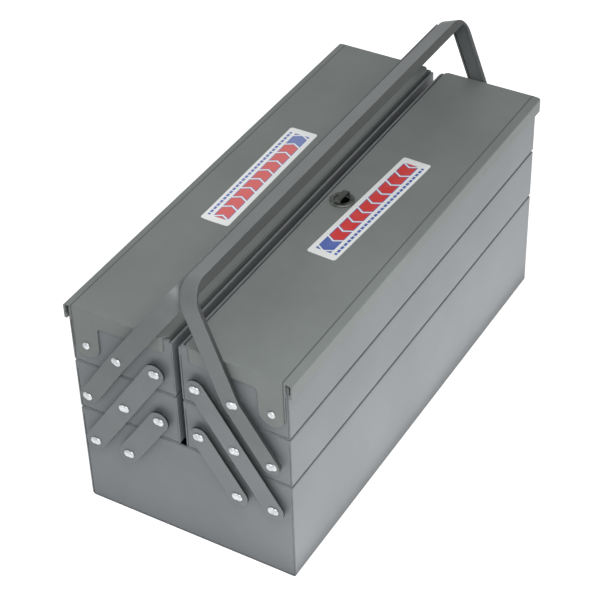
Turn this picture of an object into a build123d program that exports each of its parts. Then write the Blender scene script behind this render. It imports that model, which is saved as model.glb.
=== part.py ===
"""Electrician tool case: a steel box whose four cantilever trays swing out on flat links."""

from build123d import *
import math
import os

os.makedirs("parts", exist_ok=True)

# Outside sizes of the case, in millimetres. X runs along the case, Z is up, the front is -Y.
CASE_LENGTH = 440.0
CASE_WIDTH = 200.0
CASE_HEIGHT = 100.0
MIDDLE_TRAY_HEIGHT = 49.8
TOP_TRAY_HEIGHT = 53.6
TOP_TRAY_INNER_RISE = 1.3
LEVEL_GAP = 0.4
CENTRE_GAP = 6.0

# Sheet steel of the walls, its bends and its folded rims
SHEET = 1.2
BEND_RADIUS = 3.0
HEM_DEPTH = 8.0
END_FLANGE = 8.0
END_EDGE_CHAMFER = 0.8
HEM_NOTCH = 0.4
LEAST_CORNER = 0.3
CUT_WIDTH = 5.0

# Pivot grid on each end of the case: three columns a side, one row a level. The lowest row is
# measured down from the rim of the case.
OUTER_COLUMN_Y = 85.0
COLUMN_PITCH = 33.0
CASE_ROW_DROP = 27.0
ROW_PITCH = 49.4

# Flat links, their rivets and the spacers behind them. Small round parts are drawn with few flats:
# those of a bore or a fold touch its circle from outside. The long link's middle bearing is round.
LINK_WIDTH = 18.0
LINK_THICKNESS = 2.0
RIVET_RADIUS = 2.5
RIVET_HEAD_RADIUS = 3.5
RIVET_CROWN_RADIUS = 2.2
RIVET_HEAD_HEIGHT = 1.8
RIVET_TAIL_HEIGHT = 1.0
SPACER_RADIUS = 5.0
SPACER_THICKNESS = 3.0
PIVOT_CLEARANCE = 0.05
SIDE_CLEARANCE = 0.3
ROUND_SIDES = 8

# Lids, which turn on the outer rivets of the top trays and rise above their outer rims
LID_THICKNESS = 1.2
LID_SEAT_GAP = 0.3
LID_RISE = 4.6
LID_INNER_Y = 8.0
LID_SKIRT_PROUD = 3.5
LID_SKIRT_DEPTH = 14.8
LID_INNER_LIP = 11.0
LID_SHOULDER_WIDTH = 7.5
LID_SHOULDER_DROP = 1.2
LID_EAR_RADIUS = 12.0
LID_EAR_FILLET = 5.0
LID_CORNER_RELIEF = 2.0
LID_PLAN_CORNER = 7.0
LID_BEND_RADIUS = 2.2
LID_END_EDGE_RADIUS = 1.0
LID_HEM_HEIGHT = 4.0
LID_SWING_CLEARANCE = 0.3

# Handles: pressed channels, cranked where they pass the top tray's rivet
HANDLE_SHEET = 1.5
HANDLE_WIDTH = 16.0
HANDLE_ARM_DEPTH = 3.7
HANDLE_GRIP_DEPTH = 8.0
HANDLE_CORNER_RADIUS = 20.0
HANDLE_INNER_CORNER = 6.0
HANDLE_REACH = 100.0
FRONT_HANDLE_LEAN = 20.6
REAR_HANDLE_LEAN = 35.6

# Padlock staple in its round rosette, on the front lid
LOCK_X = 0.0
LOCK_Y = -23.0
ROSETTE_RADIUS = 11.0
ROSETTE_HOLE_RADIUS = 7.0
ROSETTE_HEIGHT = 1.6
ROSETTE_CHAMFER = 1.0
STAPLE_WIDTH = 5.0
STAPLE_THICKNESS = 1.6
STAPLE_RISE = 4.0
STAPLE_CORNER = 2.0

# Sizes that follow from the ones above
END_X = CASE_LENGTH / 2
WALL_Y = CASE_WIDTH / 2
INNER_Y = CENTRE_GAP / 2
MIDDLE_FLOOR_Z = CASE_HEIGHT + LEVEL_GAP
TOP_FLOOR_Z = MIDDLE_FLOOR_Z + MIDDLE_TRAY_HEIGHT + LEVEL_GAP
TOP_RIM_Z = TOP_FLOOR_Z + TOP_TRAY_HEIGHT
LID_TOP_Z = TOP_RIM_Z + LID_RISE
LID_UNDER_Z = LID_TOP_Z - LID_THICKNESS
LID_SKIRT_BOTTOM_Z = LID_TOP_Z - LID_SKIRT_DEPTH
CASE_ROW_Z = CASE_HEIGHT - CASE_ROW_DROP
COLUMNS = {
    "outer": OUTER_COLUMN_Y,
    "centre": OUTER_COLUMN_Y - COLUMN_PITCH,
    "inner": OUTER_COLUMN_Y - 2 * COLUMN_PITCH,
}
ROWS = {"case": CASE_ROW_Z, "middle": CASE_ROW_Z + ROW_PITCH, "top": CASE_ROW_Z + 2 * ROW_PITCH}
LINK_SPAN = math.hypot(COLUMN_PITCH, ROW_PITCH)
LINK_ANGLE = math.degrees(math.atan2(ROW_PITCH, -COLUMN_PITCH))
LINK_OUT = SPACER_THICKNESS + SIDE_CLEARANCE
LINK_FACE_OUT = LINK_OUT + LINK_THICKNESS
ARM_FACE_OUT = LINK_OUT + HANDLE_ARM_DEPTH
ARM_SPACER = ARM_FACE_OUT - HANDLE_SHEET - SIDE_CLEARANCE
EAR_FACE_OUT = SIDE_CLEARANCE + LID_THICKNESS
HOLE_RADIUS = RIVET_RADIUS + PIVOT_CLEARANCE


def along_x(profile, half_length):
    """Extrude a profile drawn in Y and Z equally to both sides of the middle."""
    return extrude(Plane.YZ * profile, amount=half_length, both=True)


def at_end(profile, out, thickness):
    """Extrude a Y-Z profile into a plate that starts `out` mm outside the right end wall."""
    return extrude(Plane.YZ.offset(END_X + out) * profile, amount=thickness)


def both_ends(shape):
    """The shape at the right end and its mirror image at the left end."""
    return [shape, mirror(shape, about=Plane.YZ)]


def on_side(shape, side):
    """Shapes are drawn for the rear (+Y); the front ones are their mirror image."""
    return mirror(shape, about=Plane.XZ) if side == "front" else shape


def fold_outline():
    """The section of a folded sheet edge, whose flats lie flush with both leaves of the sheet."""
    return RegularPolygon(SHEET, ROUND_SIDES, major_radius=False, rotation=180 / ROUND_SIDES)


def bore_outline():
    """The outline of a pivot bore, whose flats touch the running circle from outside."""
    return RegularPolygon(HOLE_RADIUS, ROUND_SIDES, major_radius=False)


def pivot_bore(y, z, out, thickness):
    """The cutter for one pivot bore of the right end."""
    return at_end(Pos(y, z) * bore_outline(), out, thickness)


def turned(y, z, sections):
    """A small turned part on a pivot: straight between its (x, radius) sections."""
    outlines = [Plane.YZ.offset(x) * Pos(y, z) * RegularPolygon(r, ROUND_SIDES) for x, r in sections]
    return loft(outlines, ruled=True)


def folded_rim(wall_y, inward, rim_z):
    """The hem of a wall: an inner leaf and the round fold that joins it to the wall."""
    fold_y = wall_y + inward * SHEET
    leaf_height = HEM_DEPTH - SHEET
    leaf_z = rim_z - SHEET - leaf_height / 2
    leaf = Pos(fold_y + inward * SHEET / 2, leaf_z) * Rectangle(SHEET, leaf_height)
    return leaf + Pos(fold_y, rim_z - SHEET) * fold_outline()


def trough(inner_y, outer_y, floor_z, inner_rim_z, outer_rim_z):
    """Floor and both long walls of one level, bent from one sheet, with folded rims."""
    top_z = max(inner_rim_z, outer_rim_z)
    width, height = outer_y - inner_y, top_z - floor_z
    middle_y = (inner_y + outer_y) / 2
    outside = Pos(middle_y, floor_z + height / 2) * Rectangle(width, height)
    outside = fillet(outside.vertices().group_by(Axis.Y)[0], BEND_RADIUS)
    inside = Pos(middle_y, floor_z + SHEET + height / 2) * Rectangle(width - 2 * SHEET, height)
    inside = fillet(inside.vertices().group_by(Axis.Y)[0], BEND_RADIUS - SHEET)
    profile = outside - inside
    for wall_y, inward, rim_z in ((inner_y, 1, inner_rim_z), (outer_y, -1, outer_rim_z)):
        spare = top_z - rim_z + SHEET
        above = Pos(wall_y, rim_z - SHEET + spare / 2) * Rectangle(CUT_WIDTH, spare)
        profile = profile - above + folded_rim(wall_y, inward, rim_z)
    return along_x(profile, END_X)


def end_outline(inner_y, outer_y, floor_z, top_z, grow=0.0):
    """Outline of an end panel between the walls of its trough; `grow` moves its edges out."""
    low_y, high_y = inner_y + SHEET - grow, outer_y - SHEET + grow
    low_z = floor_z + SHEET - grow
    outline = Pos((low_y + high_y) / 2, (low_z + top_z) / 2) * Rectangle(high_y - low_y, top_z - low_z)
    corner = max(BEND_RADIUS - SHEET + grow, LEAST_CORNER)
    return fillet(outline.vertices().group_by(Axis.Y)[0], corner)


def end_panel(inner_y, outer_y, floor_z, rims, top_z, pivots, swing=None):
    """A pan-shaped end: a plate with welding flanges on three sides and a folded top edge.

    `rims` are the heights of the inner and outer wall rims beside it. `swing` is the height
    of a lid pivot, about which the outer top corner is rounded off for the lid to pass.
    """
    plate_top = top_z - SHEET
    pan = at_end(end_outline(inner_y, outer_y, floor_z, plate_top), -END_FLANGE, END_FLANGE)
    face_edges = pan.faces().sort_by(Axis.X)[-1].edges().filter_by(Axis.Y)
    pan = chamfer(face_edges.sort_by(Axis.Z)[0], END_EDGE_CHAMFER)
    hollow = end_outline(inner_y, outer_y, floor_z, plate_top + SHEET, grow=-SHEET)
    pan -= at_end(hollow, -END_FLANGE, END_FLANGE - SHEET)
    for wall_y, inward, rim_z in ((inner_y, 1, rims[0]), (outer_y, -1, rims[1])):
        low_z = rim_z - HEM_DEPTH - HEM_NOTCH
        height = top_z - low_z
        notch = Pos(wall_y + inward * SHEET, low_z + height / 2) * Rectangle(2 * SHEET, height)
        pan -= at_end(notch, -END_FLANGE, END_FLANGE)
    hem_low, hem_high = inner_y + 2 * SHEET, outer_y - 2 * SHEET
    if swing is not None:
        hem_high = OUTER_COLUMN_Y
    leaf_height = HEM_DEPTH - SHEET
    fold = Pos(END_X - SHEET, plate_top) * fold_outline()
    leaf = Pos(END_X - 1.5 * SHEET, plate_top - leaf_height / 2) * Rectangle(SHEET, leaf_height)
    hem = extrude(Plane.XZ * (fold + leaf), amount=-(hem_high - hem_low))
    pan += Pos(0, hem_low, 0) * hem
    if swing is not None:
        reach = LID_UNDER_Z - LID_SWING_CLEARANCE - swing
        corner = Pos((hem_high + outer_y) / 2, (swing + top_z) / 2)
        corner = corner * Rectangle(outer_y - hem_high, top_z - swing)
        corner -= Pos(OUTER_COLUMN_Y, swing) * Circle(reach)
        pan -= at_end(corner, -END_FLANGE, END_FLANGE)
    for y, z in pivots:
        pan -= pivot_bore(y, z, -END_FLANGE, END_FLANGE + SHEET)
    return pan


def rivet(y, z, face_out):
    """A rivet through the end wall: tail inside, shank, and a domed head over the outer piece."""
    head_x = END_X + face_out + SIDE_CLEARANCE
    wall_x = END_X - SHEET
    dome = [
        (head_x, RIVET_HEAD_RADIUS),
        (head_x + RIVET_HEAD_HEIGHT, RIVET_CROWN_RADIUS),
    ]
    shank = turned(y, z, [(wall_x, RIVET_RADIUS), (head_x, RIVET_RADIUS)])
    tail = turned(y, z, [(wall_x - RIVET_TAIL_HEIGHT, RIVET_RADIUS), (wall_x, RIVET_HEAD_RADIUS)])
    return turned(y, z, dome) + shank + tail


def spacer(y, z, thickness):
    """A washer or bush on a rivet, between the end wall and what turns on it."""
    ring = Pos(y, z) * (RegularPolygon(SPACER_RADIUS, ROUND_SIDES) - bore_outline())
    return at_end(ring, 0, thickness)


def link(y, z, spans):
    """A flat bar with round ends, from a pivot at (y, z) inwards and up, a hole at each pivot."""
    length = spans * LINK_SPAN
    bar = Pos(length / 2, 0) * SlotCenterToCenter(length, LINK_WIDTH)
    for n in range(spans + 1):
        between_ends = 0 < n < spans
        bore = Circle(HOLE_RADIUS) if between_ends else bore_outline()
        bar -= Pos(n * LINK_SPAN, 0) * bore
    return at_end(Pos(y, z) * Rot(0, 0, LINK_ANGLE) * bar, LINK_OUT, LINK_THICKNESS)


def lid_plan(half_length):
    """The lid seen from above, round at the corners beside the middle gap, as a tall cutter."""
    depth = WALL_Y + LID_SKIRT_PROUD - LID_INNER_Y
    plan = Pos(0, LID_INNER_Y + depth / 2) * Rectangle(2 * half_length, depth)
    plan = fillet(plan.vertices().group_by(Axis.Y)[0], LID_PLAN_CORNER)
    return extrude(plan, amount=LID_TOP_Z)


def lid_sheet():
    """The bent sheet of a lid: inner lip, flat top, sloping shoulder and hemmed outer skirt."""
    skirt_y = WALL_Y + LID_SKIRT_PROUD
    shoulder_y = skirt_y - LID_SHOULDER_WIDTH

    def section_outline(inset):
        """The lid's section without its thickness: lip, top, sloping shoulder and skirt."""
        inner = LID_INNER_Y + inset
        outer = skirt_y - inset
        top = LID_TOP_Z - inset
        outline = Polyline(
            (inner, LID_SKIRT_BOTTOM_Z),
            (inner, top),
            (shoulder_y, top),
            (outer, top - LID_SHOULDER_DROP),
            (outer, LID_SKIRT_BOTTOM_Z),
            close=True,
        )
        face = make_face(outline)
        corners = face.vertices().sort_by(Axis.Y)[2:].sort_by(Axis.X)
        return fillet([corners[0], corners[-1]], LID_BEND_RADIUS - inset)

    section = section_outline(0) - section_outline(LID_THICKNESS)
    lip_bottom = LID_TOP_Z - LID_INNER_LIP
    below_lip = Pos(LID_INNER_Y, (lip_bottom + LID_SKIRT_BOTTOM_Z) / 2)
    section -= below_lip * Rectangle(CUT_WIDTH, lip_bottom - LID_SKIRT_BOTTOM_Z)
    hem = Pos(skirt_y - 1.5 * LID_THICKNESS, LID_SKIRT_BOTTOM_Z + LID_HEM_HEIGHT / 2)
    section += hem * Rectangle(LID_THICKNESS, LID_HEM_HEIGHT)
    half_length = END_X + EAR_FACE_OUT
    sheet = along_x(section, half_length)

    lip_clear = Pos(LID_INNER_Y, LID_UNDER_Z - LID_INNER_LIP / 2)
    lip_clear = lip_clear * Rectangle(CUT_WIDTH, LID_INNER_LIP)
    lip_end = END_X - 2 * SHEET - SIDE_CLEARANCE
    for cut in both_ends(at_end(lip_clear, lip_end - END_X, half_length - lip_end)):
        sheet -= cut
    end_edges = sheet.edges().filter_by(Axis.Y).group_by(Axis.Z)[-1].sort_by(Axis.X)
    sheet = fillet([end_edges[0], end_edges[-1]], LID_END_EDGE_RADIUS)
    return sheet & lid_plan(half_length)


def lid_end(sheet):
    """The end plate under the lid's sheet at the right end, with the ear that turns on its rivet."""
    width = WALL_Y - LID_CORNER_RELIEF - LID_INNER_Y
    height = LID_UNDER_Z - LID_SKIRT_BOTTOM_Z
    plate = Pos(LID_INNER_Y + width / 2, LID_SKIRT_BOTTOM_Z + height / 2) * Rectangle(width, height)
    ear_y, ear_z = COLUMNS["outer"], ROWS["top"]
    ear_height = LID_UNDER_Z - LID_BEND_RADIUS - ear_z
    ear = Pos(ear_y, ear_z + ear_height / 2) * Rectangle(2 * LID_EAR_RADIUS, ear_height)
    plate += ear + Pos(ear_y, ear_z) * Circle(LID_EAR_RADIUS)
    inner_root = plate.vertices().group_by(Axis.Y)[1].sort_by(Axis.X)[1]
    plate = fillet(inner_root, LID_EAR_FILLET)
    plate -= Pos(ear_y, ear_z) * bore_outline()
    plate = at_end(plate, SIDE_CLEARANCE, LID_THICKNESS)
    return (plate & lid_plan(END_X + EAR_FACE_OUT)) - sheet


def handle(lean):
    """A channel-section handle for the rear side: arms, cranked at the tray rivet, and a grip."""
    pivot_y, pivot_z = COLUMNS["centre"], ROWS["top"]
    face_x = END_X + ARM_FACE_OUT
    top = HANDLE_REACH + HANDLE_GRIP_DEPTH / 2
    turn = math.radians(lean)
    plane = Plane(
        origin=(0, pivot_y, pivot_z),
        x_dir=(1, 0, 0),
        z_dir=(0, -math.cos(turn), -math.sin(turn)),
    )

    def arch(half_width, height, radius):
        """An outline open at the pivots: two straight sides and two round top corners."""
        outline = Pos(0, height / 2) * Rectangle(2 * half_width, height)
        return fillet(outline.vertices().group_by(Axis.Y)[-1], radius)

    opening = arch(face_x - HANDLE_ARM_DEPTH, top - HANDLE_GRIP_DEPTH, HANDLE_INNER_CORNER)
    band = arch(face_x, top, HANDLE_CORNER_RADIUS) - opening
    hollow = arch(
        face_x - HANDLE_SHEET,
        top - HANDLE_SHEET,
        HANDLE_CORNER_RADIUS - HANDLE_SHEET,
    )
    solid = extrude(plane * band, amount=HANDLE_WIDTH / 2, both=True)
    inside = extrude(plane * hollow, amount=HANDLE_WIDTH / 2 - HANDLE_SHEET, both=True)

    low = Pos(COLUMNS["outer"], ROWS["middle"]) * Rot(0, 0, LINK_ANGLE) * Pos(LINK_SPAN / 2, 0)
    arm = low * SlotCenterToCenter(LINK_SPAN, HANDLE_WIDTH)
    arm_hollow = low * SlotCenterToCenter(LINK_SPAN, HANDLE_WIDTH - 2 * HANDLE_SHEET)
    for piece in both_ends(at_end(arm, LINK_OUT, HANDLE_ARM_DEPTH)):
        solid += piece
    hollow_depth = HANDLE_ARM_DEPTH - HANDLE_SHEET
    for piece in both_ends(at_end(arm_hollow, LINK_OUT, hollow_depth)):
        solid -= piece
    solid -= inside
    for y, z in ((COLUMNS["outer"], ROWS["middle"]), (pivot_y, pivot_z)):
        for hole in both_ends(pivot_bore(y, z, LINK_OUT, HANDLE_ARM_DEPTH)):
            solid -= hole
    return solid


def lock_rosette():
    """A shallow round rosette that lies on the front lid round the staple's opening."""
    ring = Circle(ROSETTE_RADIUS) - Circle(ROSETTE_HOLE_RADIUS)
    body = extrude(ring, amount=ROSETTE_HEIGHT)
    outer_top_edge = body.edges().group_by(Axis.Z)[-1].sort_by(SortBy.LENGTH)[-1]
    body = chamfer(outer_top_edge, ROSETTE_CHAMFER)
    return Pos(LOCK_X, LOCK_Y, LID_TOP_Z) * body


def lock_staple():
    """A flat strap bent to a bridge over the rosette, for a padlock's shackle."""
    half = (ROSETTE_HOLE_RADIUS + ROSETTE_RADIUS) / 2
    foot_z = ROSETTE_HEIGHT
    top_z = foot_z + STAPLE_RISE
    outside = Pos(0, (foot_z + top_z) / 2) * Rectangle(2 * half, top_z - foot_z)
    outside = fillet(outside.vertices().group_by(Axis.Y)[-1], STAPLE_CORNER + STAPLE_THICKNESS / 2)
    inside = Pos(0, (foot_z + top_z) / 2 - STAPLE_THICKNESS)
    inside = inside * Rectangle(2 * (half - STAPLE_THICKNESS), top_z - foot_z)
    inside = fillet(inside.vertices().group_by(Axis.Y)[-1], STAPLE_CORNER - STAPLE_THICKNESS / 2)
    strap = extrude(Plane.XZ * (outside - inside), amount=STAPLE_WIDTH / 2, both=True)
    return Pos(LOCK_X, LOCK_Y, LID_TOP_Z) * strap


def save(name, shape):
    """Write one node; a list becomes a group of separate solids."""
    solids = []
    for item in shape if isinstance(shape, list) else [shape]:
        solids += item.solids()
    export_step(Compound(children=solids) if len(solids) > 1 else solids[0], f"parts/{name}.step")
    print(name, len(solids), "solids, volume", round(sum(s.volume for s in solids)))


def save_ends(name, shape):
    """One node for each end: the shape is drawn at the right one."""
    right, left = both_ends(shape)
    save(name + "_right", right)
    save(name + "_left", left)


def pivot_hardware(pivots):
    """Rivets and spacers of one level at both ends, from (column, row, what it carries)."""
    face_out = {"link": LINK_FACE_OUT, "arm": ARM_FACE_OUT, "ear": EAR_FACE_OUT}
    spacing = {"link": SPACER_THICKNESS, "arm": ARM_SPACER}
    rivets, spacers = [], []
    for column, row, carries in pivots:
        y, z = COLUMNS[column], ROWS[row]
        rivets += both_ends(rivet(y, z, face_out[carries]))
        if carries in spacing:
            spacers += both_ends(spacer(y, z, spacing[carries]))
    return rivets, spacers


def build_case():
    """The deep bottom case, full width."""
    rims = (CASE_HEIGHT, CASE_HEIGHT)
    save("case_wrapper", trough(-WALL_Y, WALL_Y, 0, *rims))
    rear_pivots = [(COLUMNS["outer"], ROWS["case"]), (COLUMNS["centre"], ROWS["case"])]
    pivots = rear_pivots + [(-y, z) for y, z in rear_pivots]
    save_ends("case_end", end_panel(-WALL_Y, WALL_Y, 0, rims, CASE_HEIGHT, pivots))
    rivets, spacers = pivot_hardware([("outer", "case", "link"), ("centre", "case", "link")])
    save("case_rivets", rivets + [on_side(r, "front") for r in rivets])
    save("case_spacers", spacers + [on_side(s, "front") for s in spacers])


def build_middle_tray(side):
    """The middle tray of one side, open at the top."""
    rim_z = MIDDLE_FLOOR_Z + MIDDLE_TRAY_HEIGHT
    rims = (rim_z, rim_z)
    save(f"{side}_middle_tray", on_side(trough(INNER_Y, WALL_Y, MIDDLE_FLOOR_Z, *rims), side))
    pivots = [(y, ROWS["middle"]) for y in COLUMNS.values()]
    panel = end_panel(INNER_Y, WALL_Y, MIDDLE_FLOOR_Z, rims, rim_z, pivots)
    save_ends(f"{side}_middle_tray_end", on_side(panel, side))
    carried = [("outer", "middle", "arm"), ("centre", "middle", "link"), ("inner", "middle", "link")]
    rivets, spacers = pivot_hardware(carried)
    save(f"{side}_middle_tray_rivets", [on_side(r, side) for r in rivets])
    save(f"{side}_middle_tray_spacers", [on_side(s, side) for s in spacers])


def build_top_tray(side):
    """The top tray of one side, which the lid covers."""
    rims = (TOP_RIM_Z + TOP_TRAY_INNER_RISE, TOP_RIM_Z)
    save(f"{side}_top_tray", on_side(trough(INNER_Y, WALL_Y, TOP_FLOOR_Z, *rims), side))
    pivots = [(y, ROWS["top"]) for y in COLUMNS.values()]
    seat_z = LID_UNDER_Z - LID_SEAT_GAP
    panel = end_panel(INNER_Y, WALL_Y, TOP_FLOOR_Z, rims, seat_z, pivots, swing=ROWS["top"])
    save_ends(f"{side}_top_tray_end", on_side(panel, side))
    carried = [("outer", "top", "ear"), ("centre", "top", "arm"), ("inner", "top", "link")]
    rivets, spacers = pivot_hardware(carried)
    save(f"{side}_top_tray_rivets", [on_side(r, side) for r in rivets])
    save(f"{side}_top_tray_spacers", [on_side(s, side) for s in spacers])


def build_links(side):
    """The long and short links of one side, at both ends."""
    long_link = link(COLUMNS["outer"], ROWS["case"], 2)
    short_link = link(COLUMNS["centre"], ROWS["case"], 1)
    save_ends(f"{side}_long_link", on_side(long_link, side))
    save_ends(f"{side}_short_link", on_side(short_link, side))


def build_lids_and_handles():
    """Both lids, the staple on the front one, and both handles."""
    rear_lid = lid_sheet()
    front_lid = on_side(rear_lid, "front")
    ear_plate = lid_end(rear_lid)
    opening = extrude(Circle(ROSETTE_HOLE_RADIUS), amount=CUT_WIDTH, both=True)
    opening = Pos(LOCK_X, LOCK_Y, LID_TOP_Z) * opening
    save("front_lid", front_lid - opening)
    save("rear_lid", rear_lid)
    save_ends("front_lid_end", on_side(ear_plate, "front"))
    save_ends("rear_lid_end", ear_plate)
    save("lock_rosette", lock_rosette())
    save("lock_staple", lock_staple())
    save("front_handle", on_side(handle(FRONT_HANDLE_LEAN), "front"))
    save("rear_handle", handle(REAR_HANDLE_LEAN))


build_case()
for side_name in ("front", "rear"):
    build_middle_tray(side_name)
    build_top_tray(side_name)
    build_links(side_name)
build_lids_and_handles()
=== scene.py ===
# %% [markdown]
# # A steel tool case with cantilever trays
# The case, its trays, links, lids and handles arrive finished as solids, in metres, standing on
# z = 0. X runs along the case and the front long side faces -Y. This lesson dresses them: grey
# enamel, zinc rivets, two printed stickers, and then a camera, a floor and soft studio light.
# Loading comes first.

# %% Load the case
import math

import bpy
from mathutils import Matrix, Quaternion, Vector


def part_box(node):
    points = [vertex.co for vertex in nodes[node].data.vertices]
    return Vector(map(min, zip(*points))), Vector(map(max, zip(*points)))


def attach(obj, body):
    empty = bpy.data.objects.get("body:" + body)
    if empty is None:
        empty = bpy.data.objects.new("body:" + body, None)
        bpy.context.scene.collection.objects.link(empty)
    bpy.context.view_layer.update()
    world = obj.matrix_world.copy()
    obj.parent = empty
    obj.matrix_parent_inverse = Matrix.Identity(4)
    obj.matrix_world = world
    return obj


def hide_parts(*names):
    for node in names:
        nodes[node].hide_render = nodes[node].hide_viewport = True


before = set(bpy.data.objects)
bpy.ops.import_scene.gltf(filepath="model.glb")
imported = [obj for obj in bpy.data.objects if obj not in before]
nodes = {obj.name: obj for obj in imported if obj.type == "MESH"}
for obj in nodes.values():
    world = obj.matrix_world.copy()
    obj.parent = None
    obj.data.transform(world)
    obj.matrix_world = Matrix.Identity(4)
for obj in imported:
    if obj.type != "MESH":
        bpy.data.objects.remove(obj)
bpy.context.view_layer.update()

# %% [markdown]
# ## Clean hands
# Every operator acts on whatever is selected, and the loaded solids are all selected. So each
# modelling step starts by dropping the selection, and vertices, edges or faces are then picked
# in code, by where they are. One helper drops the selection, one picks, and one finishes a
# piece: its place goes into its mesh, so that its object sits at the origin like every node.

# %% Selection helpers
def deselect():
    """Leave nothing selected and no object being edited."""
    if bpy.context.object and bpy.context.object.mode != "OBJECT":
        bpy.ops.object.mode_set(mode="OBJECT")
    bpy.ops.object.select_all(action="DESELECT")


def pick(piece, kind, wanted):
    """Select the vertices, edges or faces that satisfy `wanted`, and say how many."""
    bpy.ops.object.mode_set(mode="OBJECT")
    mesh = piece.data
    for group in (mesh.vertices, mesh.edges, mesh.polygons):
        for item in group:
            item.select = False
    modes = {"VERT": mesh.vertices, "EDGE": mesh.edges, "FACE": mesh.polygons}
    found = [item for item in modes[kind] if wanted(item)]
    for item in found:
        item.select = True
    bpy.ops.object.mode_set(mode="EDIT")
    bpy.ops.mesh.select_mode(type=kind)
    return len(found)


def settle(piece):
    """Put the piece's place, turn and scale into its mesh."""
    deselect()
    piece.select_set(True)
    bpy.context.view_layer.objects.active = piece
    bpy.ops.object.transform_apply(location=True, rotation=True, scale=True)
    piece.select_set(False)


# %% [markdown]
# ## Sums on sockets
# A finish is mostly arithmetic: so much noise, less what a mask hides, times a strength. Written
# as nodes by hand that is unreadable, so a small class lets Python's own operators add the Math
# nodes. A Finish then starts a material and adds any other node, its settings first.

# %% Expressions and finishes
class Value:
    """A number socket. Arithmetic on it adds one Math node each time."""

    def __init__(self, finish, socket):
        self.finish = finish
        self.socket = socket

    def math(self, operation, *numbers):
        settings = {"operation": operation}
        return self.finish.node("ShaderNodeMath", settings, dict(enumerate(numbers)))

    def __add__(self, other):
        return self.math("ADD", self, other)

    def __sub__(self, other):
        return self.math("SUBTRACT", self, other)

    def __rsub__(self, other):
        return self.math("SUBTRACT", other, self)

    def __mul__(self, other):
        return self.math("MULTIPLY", self, other)

    def __truediv__(self, other):
        return self.math("DIVIDE", self, other)

    __radd__ = __add__
    __rmul__ = __mul__

    def between(self, low, high):
        """0 at `low`, 1 at `high`, and a smooth step from one to the other."""
        settings = {"interpolation_type": "SMOOTHSTEP"}
        values = {"Value": self, "From Min": low, "From Max": high}
        return self.finish.node("ShaderNodeMapRange", settings, values)


class Finish:
    """A material under construction, with its Principled shader."""

    def __init__(self, name, **fixed):
        self.material = bpy.data.materials.new(name)
        self.material.use_nodes = True
        self.tree = self.material.node_tree
        self.shader = self.tree.nodes["Principled BSDF"]
        for socket, value in fixed.items():
            self.shader.inputs[socket.replace("_", " ")].default_value = value
        self.place = self.node("ShaderNodeTexCoord", {}, {}, "Object")

    def node(self, kind, settings, values, output=0):
        """Add a node: its settings, then its sockets' values or links; gives one output."""
        made = self.tree.nodes.new(kind)
        for name, setting in settings.items():
            setattr(made, name, setting)
        for name, value in values.items():
            self.plug(made.inputs[name], value)
        return Value(self, made.outputs[output])

    def plug(self, socket, value):
        """Link a Value to a socket, or set the socket to a number."""
        if isinstance(value, Value):
            self.tree.links.new(value.socket, socket)
        else:
            socket.default_value = value

    def set(self, **sockets):
        """Connect or set the shader's own sockets."""
        for name, value in sockets.items():
            self.plug(self.shader.inputs[name.replace("_", " ")], value)

    def noise(self, scale, detail=2, roughness=0.5, place=None):
        values = {"Vector": place or self.place, "Scale": scale, "Detail": detail}
        return self.node("ShaderNodeTexNoise", {}, {**values, "Roughness": roughness})

    def blend(self, share, low, high):
        """A colour that goes from `low` to `high` as `share` goes from 0 to 1."""
        low, high = [c if isinstance(c, Value) else (*c, 1) for c in (low, high)]
        # A colour Mix node has its factor at input 0, its colours at 6 and 7, its result at 2.
        return self.node("ShaderNodeMix", {"data_type": "RGBA"}, {0: share, 6: low, 7: high}, 2)

    def stretched(self, x, y, z):
        """The place, with each axis drawn out, for streaks and scratches."""
        values = {"Vector": self.place, "Scale": (x, y, z)}
        return self.node("ShaderNodeMapping", {}, values)

    def bump(self, height, distance, strength, normal=None):
        values = {"Height": height, "Distance": distance, "Strength": strength}
        if normal is not None:
            values["Normal"] = normal
        return self.node("ShaderNodeBump", {}, values)


# %% [markdown]
# ## Grey enamel
# The case is sprayed with one coat of semi-gloss machine grey. Up close such a coat has a fine
# orange peel, the tone drifts a little over a hand's width, and where sheet ends or folds the
# paint is thin and rubbed, so edges look lighter. The tone is two close greys mixed by broad
# noise, the peel is bump, and a Bevel node finds the edges: its rounded normal differs from the
# true one only there. The cut edges of the links, the side walls of the handles and the bend of
# the lids are darkened with painted shade, each through a mask of its own. A noise scale
# is the number of patches in a metre.

# %% Enamel for sheet, links and handles
EDGE_REACH = 0.0009  # metres from an edge that the rubbing reaches
RUBBED, SCUFFED = (0.33, 0.34, 0.34), (0.25, 0.26, 0.26)
# The near-black colour of the painted shade on link edges, handle side walls and lid bends.
PAINTED_SHADE = (0.024, 0.025, 0.025)
FLANGE_SHADE_SHARE, CREASE_SHADE_SHARE = 0.88, 0.65  # how much of the paint the painted shade covers there
FRONT_LEAN, REAR_LEAN = math.radians(20.6), math.radians(35.6)  # the handles, from upright
CREASE_Y, CREASE_WIDTH = 0.0960, 0.0009  # where a lid bends down, on either side
SCUFF_STRENGTH = 0.22
PEEL_HEIGHT, PEEL_STRENGTH = 0.0006, 0.6


def facing(paint, direction):
    """How squarely a surface faces along a direction, either way, in the piece's own axes."""
    values = {0: paint.node("ShaderNodeTexCoord", {}, {}, "Normal"), 1: direction}
    along = paint.node("ShaderNodeVectorMath", {"operation": "DOT_PRODUCT"}, values, "Value")
    return along.math("ABSOLUTE", along)


def link_edge_shade(paint):
    """The cut edges of the bars, which face along Y and Z; painted shade darkens them for the
    shadow in the gap beside the wall.
    """
    return (1 - facing(paint, (1, 0, 0))).between(0.35, 0.60)


def flange_shade(lean):
    """The side walls of a handle that leans so far from upright, darkened with painted shade."""
    direction = (0, math.cos(lean), math.sin(lean))
    return lambda paint: facing(paint, direction).between(0.55, 0.80) * FLANGE_SHADE_SHARE


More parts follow.
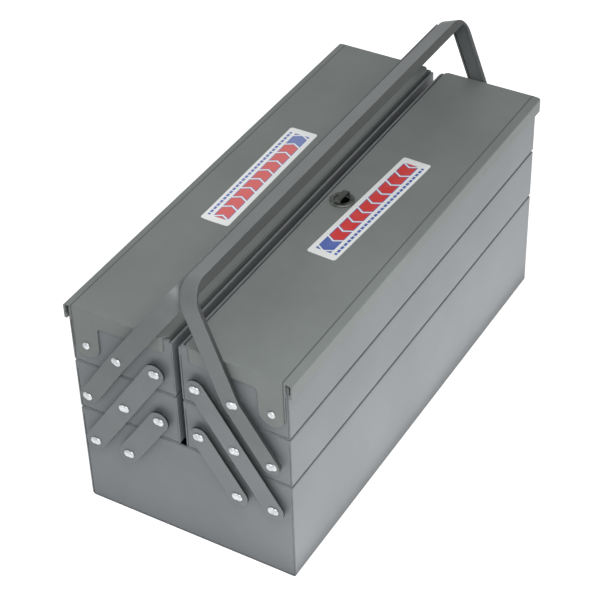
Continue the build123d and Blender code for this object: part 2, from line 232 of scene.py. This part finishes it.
def crease(paint):
    """The bend along a lid's outer edge, where painted shade darkens the corner of the press."""
    y = paint.node("ShaderNodeSeparateXYZ", {}, {0: paint.place}, 1)
    past = y.math("ABSOLUTE", y) - CREASE_Y
    return past.math("ABSOLUTE", past).between(CREASE_WIDTH, CREASE_WIDTH * 0.4) * CREASE_SHADE_SHARE


def enamel(name, light, dark, rub, roughness, shade_mask=None):
    """Grey paint. `rub` is how far edges are rubbed, and the last argument may give a mask of
    painted shade.
    """
    paint = Finish(name, Metallic=0.0)
    broad = paint.noise(9.0, detail=3, roughness=0.55)
    cloud = paint.noise(48.0, detail=4, roughness=0.6)
    drift = (broad * 0.7 + cloud * 0.3).between(0.34, 0.66)
    colour = paint.blend(drift, dark, light)

    soft = paint.node("ShaderNodeBevel", {"samples": 6}, {"Radius": EDGE_REACH})
    true = paint.node("ShaderNodeNewGeometry", {}, {}, "Normal")
    both = {0: soft, 1: true}
    apart = paint.node("ShaderNodeVectorMath", {"operation": "DISTANCE"}, both, "Value")
    patchy = paint.noise(160.0, detail=5, roughness=0.65).between(0.42, 0.62)
    worn = apart.between(0.12, 0.5) * patchy * rub
    colour = paint.blend(worn, colour, RUBBED)

    scuff_place = paint.stretched(30.0, 400.0, 400.0)
    scuffs = paint.noise(1.0, detail=3, roughness=0.7, place=scuff_place).between(0.66, 0.72)
    scuffs = scuffs * paint.noise(14.0).between(0.5, 0.64)
    colour = paint.blend(scuffs * SCUFF_STRENGTH, colour, SCUFFED)
    # Painted shade: where the mask says, the paint goes to near black.
    if shade_mask is not None:
        colour = paint.blend(shade_mask(paint), colour, PAINTED_SHADE)

    peel = paint.noise(1300.0, detail=1)
    waves = paint.noise(22.0, detail=1)
    height = peel * 0.05 + waves * 0.6
    rough = roughness + (cloud - 0.5) * 0.12 + scuffs * 0.15 + worn * 0.1
    bumped = paint.bump(height, PEEL_HEIGHT, PEEL_STRENGTH, normal=soft)
    paint.set(Base_Color=colour, Roughness=rough, Normal=bumped)
    return paint.material


sheet_grey = enamel(
    "sheet enamel", (0.188, 0.198, 0.207), (0.160, 0.171, 0.179), rub=0.55, roughness=0.46
)
# The lids' bends carry a line of painted shade.
lid_grey = enamel(
    "lid enamel", (0.201, 0.219, 0.210), (0.174, 0.190, 0.182), rub=0.6, roughness=0.58,
    shade_mask=crease,
)
# The links' cut edges carry painted shade.
link_grey = enamel(
    "link enamel", (0.181, 0.192, 0.197), (0.148, 0.159, 0.163), rub=0.8, roughness=0.46,
    shade_mask=link_edge_shade,
)
# The handles' side walls carry painted shade.
handle_greys = {
    side: enamel(
        f"{side} handle enamel", (0.148, 0.159, 0.159), (0.114, 0.124, 0.124), rub=0.8,
        roughness=0.44, shade_mask=flange_shade(lean),
    )
    for side, lean in (("front", -FRONT_LEAN), ("rear", REAR_LEAN))
}
print("enamels", [m.name for m in (sheet_grey, lid_grey, link_grey, *handle_greys.values())])

# %% [markdown]
# ## Zinc rivets and washers
# The rivets are the brightest things on the case: plain zinc-plated heads, hammered smooth but
# not polished. Zinc is a pale metal with a cloudy grain and fine turning marks. A metallic base
# with uneven roughness shows the white studio in soft patches, as the photographed heads do.

# %% Zinc for rivets, spacers and the lock
TARNISH = (0.20, 0.19, 0.17)
GRAIN_HEIGHT, GRAIN_STRENGTH = 0.0002, 0.4


def zinc(name, pale, dull, smoothest, roughest, tarnish):
    """Dull plated metal, between two greys and between two roughnesses."""
    metal = Finish(name, Metallic=1.0)
    grain = metal.noise(700.0, detail=4, roughness=0.6)
    cloud = metal.noise(180.0, detail=2)
    colour = metal.blend(cloud.between(0.35, 0.65), dull, pale)
    spots = metal.noise(420.0, detail=3).between(0.6, 0.7)
    colour = metal.blend(spots * tarnish, colour, TARNISH)
    rough = grain * (roughest - smoothest) + smoothest
    bumped = metal.bump(grain, GRAIN_HEIGHT, GRAIN_STRENGTH)
    metal.set(Base_Color=colour, Roughness=rough, Normal=bumped)
    return metal.material


rivet_zinc = zinc(
    "rivet zinc", (0.66, 0.67, 0.68), (0.50, 0.51, 0.53),
    smoothest=0.30, roughest=0.52, tarnish=0.3,
)
spacer_zinc = zinc(
    "spacer zinc", (0.39, 0.40, 0.40), (0.29, 0.30, 0.30),
    smoothest=0.35, roughest=0.60, tarnish=0.5,
)
lock_zinc = zinc(
    "lock zinc", (0.131, 0.138, 0.131), (0.090, 0.097, 0.090),
    smoothest=0.40, roughest=0.65, tarnish=0.4,
)
print("zinc", [m.name for m in (rivet_zinc, spacer_zinc, lock_zinc)])

# %% Give each solid its finish
def finish_for(name):
    """The finish that a node's name calls for."""
    by_word = {
        "rivets": rivet_zinc,
        "spacers": spacer_zinc,
        "lock": lock_zinc,
        "link": link_grey,
        "front_handle": handle_greys["front"],
        "rear_handle": handle_greys["rear"],
        "lid": lid_grey,
    }
    for word, material in by_word.items():
        if word in name:
            return material
    return sheet_grey


for name, node in nodes.items():
    node.data.materials.clear()
    node.data.materials.append(finish_for(name))
print("finishes", sorted({finish_for(name).name for name in nodes}))

# %% [markdown]
# ## Round rivets
# The solids carry rivets with a few flats, which is enough for motion. Up close a head is a
# shallow dome, so each group of rivets is turned anew: the crowns of the old heads give the
# places, a squashed half ball with its base filled makes each head, and cylinders make its shank
# and tail. One object stands for one group, and rides on the same body.

# %% Where the rivets are
HEAD_RADIUS, HEAD_HEIGHT = 0.0035, 0.0018
SHANK_RADIUS, TAIL_LENGTH = 0.0025, 0.001
WALL_INSIDE = 0.2188  # metres from the middle of the case to the inner face of an end
SAME_RIVET = 3 * HEAD_RADIUS  # vertices nearer than this belong to one rivet
SAME_LEVEL = 1e-5  # metres


def crowns(node):
    """The middle of each rivet's crown, from the outermost vertices of its head."""
    found = []
    for vertex in node.data.vertices:
        place = node.matrix_world @ vertex.co
        near = [group for group in found if (group[0] - place).length < SAME_RIVET]
        if near:
            near[0].append(place)
        else:
            found.append([place])
    middles = []
    for group in found:
        out = max(abs(place.x) for place in group)
        if out > WALL_INSIDE + HEAD_HEIGHT:
            crown = [place for place in group if abs(place.x) > out - SAME_LEVEL]
            middles.append(sum(crown, Vector()) / len(crown))
    return middles


# %% Turn one rivet
HEAD_SIDES, SHANK_SIDES = 32, 24
TOUCHING = 1e-6  # metres


def turned_piece(add, place, outward, **sizes):
    """Add a round primitive whose own axis points outwards along X."""
    deselect()
    add(location=place, rotation=(0, outward * math.pi / 2, 0), **sizes)
    return bpy.context.object


def in_seat(head, seat):
    """A test for the edges of a head that lie in the plane of its seat."""
    corners = head.data.vertices
    return lambda edge: all(abs(corners[v].co.x - seat.x) < TOUCHING for v in edge.vertices)


def round_rivet(crown):
    """Head, shank and tail of the rivet whose crown is at `crown`."""
    outward = 1 if crown.x > 0 else -1
    seat = crown - Vector((outward * HEAD_HEIGHT, 0, 0))
    ball = bpy.ops.mesh.primitive_uv_sphere_add
    rod = bpy.ops.mesh.primitive_cylinder_add
    rings = HEAD_SIDES // 2
    sizes = {"segments": HEAD_SIDES, "ring_count": rings, "radius": HEAD_RADIUS}
    head = turned_piece(ball, seat, outward, **sizes)
    head.scale = (1, 1, HEAD_HEIGHT / HEAD_RADIUS)
    settle(head)
    pick(head, "FACE", lambda face: (face.center.x - seat.x) * outward < 0)
    bpy.ops.mesh.delete(type="FACE")
    pick(head, "EDGE", in_seat(head, seat))
    bpy.ops.mesh.edge_face_add()
    bpy.ops.object.mode_set(mode="OBJECT")

    wall = Vector((outward * WALL_INSIDE, crown.y, crown.z))
    middle, length = (seat + wall) / 2, (seat - wall).length
    sizes = {"vertices": SHANK_SIDES, "radius": SHANK_RADIUS, "depth": length}
    shank = turned_piece(rod, middle, outward, **sizes)
    behind = wall - Vector((outward * TAIL_LENGTH / 2, 0, 0))
    sizes = {"vertices": SHANK_SIDES, "radius": HEAD_RADIUS, "depth": TAIL_LENGTH}
    tail = turned_piece(rod, behind, outward, **sizes)
    return [head, shank, tail]


# %% Join each group and let it ride
SMOOTH_ANGLE = math.radians(50)


def round_rivets(name, body):
    """One object for all the rivets of a node, standing for it on its body."""
    parts = [part for crown in crowns(nodes[name]) for part in round_rivet(crown)]
    deselect()
    for part in parts:
        part.select_set(True)
    bpy.context.view_layer.objects.active = parts[0]
    bpy.ops.object.join()
    group = bpy.context.object
    group.name = name.replace("rivets", "round_rivets")
    bpy.ops.object.shade_smooth_by_angle(angle=SMOOTH_ANGLE)
    settle(group)
    group.data.materials.clear()
    group.data.materials.append(rivet_zinc)
    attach(group, body)
    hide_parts(name)
    print(group.name, len(parts) // 3, "rivets")


round_rivets("case_rivets", "case")
for side in ("front", "rear"):
    for level in ("middle", "top"):
        round_rivets(f"{side}_{level}_tray_rivets", f"{side}_{level}_tray")

# %% [markdown]
# ## Printed stickers
# Each lid carries a long white sticker printed in red and blue. Here the print is a plain
# ornament: a row of bold red chevrons, the first of them blue, over a broken blue line. The
# strip is vinyl with rounded corners, a tenth of a millimetre thick, and one corner has begun to
# lift. The print follows the sticker's own UV map, so it turns with the strip.

# %% The print
# Places are shares of the strip's length or width. A chevron's half length is a share of the
# room that one chevron has, and its half width a share of the strip's width.
CHEVRONS, DASHES = 9, 30
PRINT_START, PRINT_END = 0.045, 0.955
ROW_MIDDLE, LINE_MIDDLE = 0.57, 0.15
RIM_HALVES, HEART_HALVES = (0.45, 0.270), (0.41, 0.245)
LINE_HALF, DASH_HALF = 0.050, 0.40
SOFT_ALONG, SOFT_UP = 0.02, 0.012  # how wide the ink's edge is
CHEVRON_SLANT = 0.10
PAPER = (0.97, 0.97, 0.96)
RED, BLUE, DEEP_BLUE = (0.76, 0.045, 0.040), (0.05, 0.13, 0.48), (0.10, 0.16, 0.50)
DIRT, DIRT_STRENGTH = (0.42, 0.40, 0.36), 0.05


def sticker_print():
    """Vinyl whose print is worked out from its UV map: `across` runs along the strip."""
    vinyl = Finish("printed vinyl", Metallic=0.0, Coat_Weight=1.0, Coat_Roughness=0.12)
    flat = vinyl.node("ShaderNodeTexCoord", {}, {}, "UV")
    across = vinyl.node("ShaderNodeSeparateXYZ", {}, {0: flat}, 0)
    up = vinyl.node("ShaderNodeSeparateXYZ", {}, {0: flat}, 1)

    off_row = up.math("ABSOLUTE", up - ROW_MIDDLE)
    pitch = (PRINT_END - PRINT_START - CHEVRON_SLANT * 0.3) / CHEVRONS
    cell = (across - PRINT_START - off_row * CHEVRON_SLANT) / pitch
    column = cell.math("FRACT", cell) - 0.5
    off_column = column.math("ABSOLUTE", column)
    in_row = across.math("ABSOLUTE", across - 0.5).between(0.456, 0.452)

    def within(half_length, half_width):
        """1 inside a chevron of that size, and 0 outside."""
        along = off_column.between(half_length, half_length - SOFT_ALONG)
        return along * off_row.between(half_width, half_width - SOFT_UP) * in_row

    rim, heart = within(*RIM_HALVES), within(*HEART_HALVES)
    dash = (across * DASHES).math("FRACT", across * DASHES) - 0.5
    dashed = dash.math("ABSOLUTE", dash).between(DASH_HALF, DASH_HALF * 0.9)
    off_line = up.math("ABSOLUTE", up - LINE_MIDDLE)
    line = off_line.between(LINE_HALF, LINE_HALF * 0.8) * dashed * in_row
    first = cell.between(1.02, 0.98)

    ink = vinyl.blend(rim, PAPER, BLUE)
    ink = vinyl.blend(heart, ink, vinyl.blend(first, RED, DEEP_BLUE))
    ink = vinyl.blend(line, ink, BLUE)
    dirt = vinyl.noise(70.0, detail=5, roughness=0.65).between(0.45, 0.75)
    colour = vinyl.blend(dirt * DIRT_STRENGTH, ink, DIRT)
    rough = 0.30 + dirt * 0.2
    waves = vinyl.noise(60.0, detail=1)
    bumped = vinyl.bump(waves, distance=0.0002, strength=0.4)
    vinyl.set(Base_Color=colour, Roughness=rough, Normal=bumped)
    return vinyl.material


vinyl = sticker_print()
print("print", vinyl.name, len(vinyl.node_tree.nodes), "shader nodes")

# %% The two strips
STICKER_THICKNESS = 0.00012
CORNER_RADIUS = 0.0025
LIFT, LIFT_REACH = 0.0006, 0.9  # metres up, and share of the half width that lifts


def sticker(name, lid, centre, size, turn, top):
    """A rounded strip of vinyl on a lid, with one corner lifted a little."""
    deselect()
    bpy.ops.mesh.primitive_grid_add(x_subdivisions=40, y_subdivisions=6, size=1)
    strip = bpy.context.object
    strip.name = name
    strip.scale = (size[0], size[1], 1)
    settle(strip)
    half_x, half_y = size[0] / 2, size[1] / 2

    deselect()
    strip.select_set(True)
    bpy.context.view_layer.objects.active = strip
    corner = Vector((half_x, half_y))
    corners = pick(
        strip,
        "VERT",
        lambda v: (Vector((abs(v.co.x), abs(v.co.y))) - corner).length < TOUCHING,
    )
    bpy.ops.mesh.bevel(offset=CORNER_RADIUS, segments=6, affect="VERTICES")
    bpy.ops.mesh.select_all(action="SELECT")
    upward = {"value": (0, 0, STICKER_THICKNESS)}
    bpy.ops.mesh.extrude_region_move(TRANSFORM_OT_translate=upward)
    bpy.ops.mesh.select_all(action="SELECT")
    bpy.ops.mesh.normals_make_consistent(inside=False)
    bpy.ops.object.mode_set(mode="OBJECT")
    for vertex in strip.data.vertices:
        away = Vector((half_x - vertex.co.x, half_y + vertex.co.y)).length
        vertex.co.z += LIFT * max(0.0, 1 - away / (half_y * LIFT_REACH)) ** 2

    layer = strip.data.uv_layers.active or strip.data.uv_layers.new(name="print")
    for loop in strip.data.loops:
        place = strip.data.vertices[loop.vertex_index].co
        layer.data[loop.index].uv = (place.x / size[0] + 0.5, place.y / size[1] + 0.5)

    strip.rotation_euler = (0, 0, math.radians(turn))
    strip.location = (centre[0], centre[1], top)
    settle(strip)
    strip.data.materials.clear()
    strip.data.materials.append(vinyl)
    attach(strip, lid)
    print(name, "corners", corners, "faces", len(strip.data.polygons))


lid_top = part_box("rear_lid")[1].z
sticker(
    "front_sticker", "front_lid", (0.0025, -0.0487), size=(0.155, 0.0270), turn=-3.0, top=lid_top
)
sticker(
    "rear_sticker", "rear_lid", (-0.0005, 0.0560), size=(0.152, 0.0270), turn=180.5, top=lid_top
)

# %% [markdown]
# ## Camera
# The photograph looks down on the near end and the front side, from about 39 degrees up, with a
# long lens and a slight roll. The camera is placed by those angles and its distance, measured
# from the middle of the case's footprint, with the aim moved a little sideways and up.

# %% Camera at the photograph's angle
AZIMUTH, ELEVATION, ROLL = -58.69, 38.77, -1.94  # degrees
DISTANCE = 1.64956  # metres
AIM_RIGHT, AIM_UP = -0.02075, 0.07274
FOCAL_PIXELS, IMAGE_PIXELS = 1811.31, 600
SENSOR = 36.0  # millimetres

turn, tilt = math.radians(AZIMUTH), math.radians(ELEVATION)
level = math.cos(tilt)
back = Vector((math.sin(turn) * level, -math.cos(turn) * level, math.sin(tilt)))
view_turn = (-back).to_track_quat("-Z", "Y") @ Quaternion((0, 0, 1), math.radians(ROLL))
right, up = view_turn @ Vector((1, 0, 0)), view_turn @ Vector((0, 1, 0))

lens = bpy.data.cameras.new("photo_lens")
lens.sensor_width = SENSOR
lens.lens = FOCAL_PIXELS / IMAGE_PIXELS * SENSOR
camera = bpy.data.objects.new("photo_camera", lens)
camera.rotation_mode = "QUATERNION"
camera.rotation_quaternion = view_turn
camera.location = back * DISTANCE + right * AIM_RIGHT + up * AIM_UP
bpy.context.scene.collection.objects.link(camera)
bpy.context.scene.camera = camera
print("camera", [round(c, 4) for c in camera.location], "lens", round(lens.lens, 1))

# %% [markdown]
# ## Floor and light
# The photograph has a plain white ground, and most of its light comes up from there: the long
# side is the brightest, the near end follows, and the lids and the handles above them stay dark.
# So the sky is weak, and two soft lamps lie on the floor beside the case and shine upwards. A
# third hangs beyond the near end, where the lids are a little brighter. The floor and the sky
# look white to the camera and in reflections.

# %% White to the eye
def seen_as_white(tree):
    """A socket that is 1 for camera, glossy and transmission rays, and 0 for the light's own."""
    rays = tree.nodes.new("ShaderNodeLightPath")
    seen = rays.outputs["Is Camera Ray"]
    for kind in ("Is Glossy Ray", "Is Transmission Ray"):
        either = tree.nodes.new("ShaderNodeMath")
        either.operation = "MAXIMUM"
        tree.links.new(seen, either.inputs[0])
        tree.links.new(rays.outputs[kind], either.inputs[1])
        seen = either.outputs[0]
    return seen


# %% Sky
SKY_LEVEL = 0.45
SKY_COLOUR, WHITE = (0.95, 0.98, 1.0, 1), (1, 1, 1, 1)

world = bpy.data.worlds.new("studio")
world.use_nodes = True
bpy.context.scene.world = world
sky = world.node_tree
fill = sky.nodes["Background"]
fill.inputs["Color"].default_value = SKY_COLOUR
fill.inputs["Strength"].default_value = SKY_LEVEL
white = sky.nodes.new("ShaderNodeBackground")
white.inputs["Color"].default_value = WHITE
mixed = sky.nodes.new("ShaderNodeMixShader")
sky.links.new(seen_as_white(sky), mixed.inputs[0])
sky.links.new(fill.outputs[0], mixed.inputs[1])
sky.links.new(white.outputs[0], mixed.inputs[2])
sky.links.new(mixed.outputs[0], sky.nodes["World Output"].inputs["Surface"])
print("sky", SKY_LEVEL)

# %% Floor
FLOOR_SIZE, FLOOR_GLOW = 12.0, 0.76

deselect()
bpy.ops.mesh.primitive_plane_add(size=FLOOR_SIZE)
floor = bpy.context.object
floor.name = "floor"
ground = Finish("pale floor", Metallic=0.0, Roughness=0.9)
mottle = ground.noise(3.0).between(0.3, 0.7)
ground.set(Base_Color=ground.blend(mottle, (0.86, 0.86, 0.86), (0.88, 0.88, 0.88)))
eye = Value(ground, seen_as_white(ground.tree))
glow = ground.blend(eye, (0, 0, 0), (1, 1, 1))
ground.set(Emission_Color=glow, Emission_Strength=FLOOR_GLOW)
floor.data.materials.append(ground.material)
print(floor.name, FLOOR_SIZE, "m wide")

# %% Lamps
ABOVE_FLOOR = 0.004  # metres


def floor_lamp(name, place, size, power):
    """A rectangular lamp that lies on the floor, shines upwards and isn't seen itself."""
    light = bpy.data.lights.new(name, "AREA")
    light.shape = "RECTANGLE"
    light.size, light.size_y = size
    light.energy = power
    holder = bpy.data.objects.new(name, light)
    holder.location = (*place, ABOVE_FLOOR)
    holder.rotation_euler = (math.pi, 0, 0)
    holder.visible_camera = False
    holder.visible_glossy = False
    bpy.context.scene.collection.objects.link(holder)
    print(name, power, "W")


floor_lamp("front_glow", (0.0, -0.2675), size=(0.90, 0.305), power=1.67)
floor_lamp("end_glow", (-0.37, 0.0), size=(0.26, 0.26), power=0.087)


def hanging_lamp(name, place, aim, size, power):
    """A square lamp at `place`, turned to look at `aim`."""
    light = bpy.data.lights.new(name, "AREA")
    light.size = size
    light.energy = power
    holder = bpy.data.objects.new(name, light)
    holder.location = place
    holder.rotation_mode = "QUATERNION"
    holder.rotation_quaternion = (Vector(aim) - Vector(place)).to_track_quat("-Z", "Y")
    bpy.context.scene.collection.objects.link(holder)
    print(name, power, "W")


hanging_lamp("end_top", (-0.45, -0.30, 0.75), aim=(-0.1, -0.03, 0.2), size=0.4, power=3.05)

bpy.context.scene.view_settings.view_transform = "Standard"
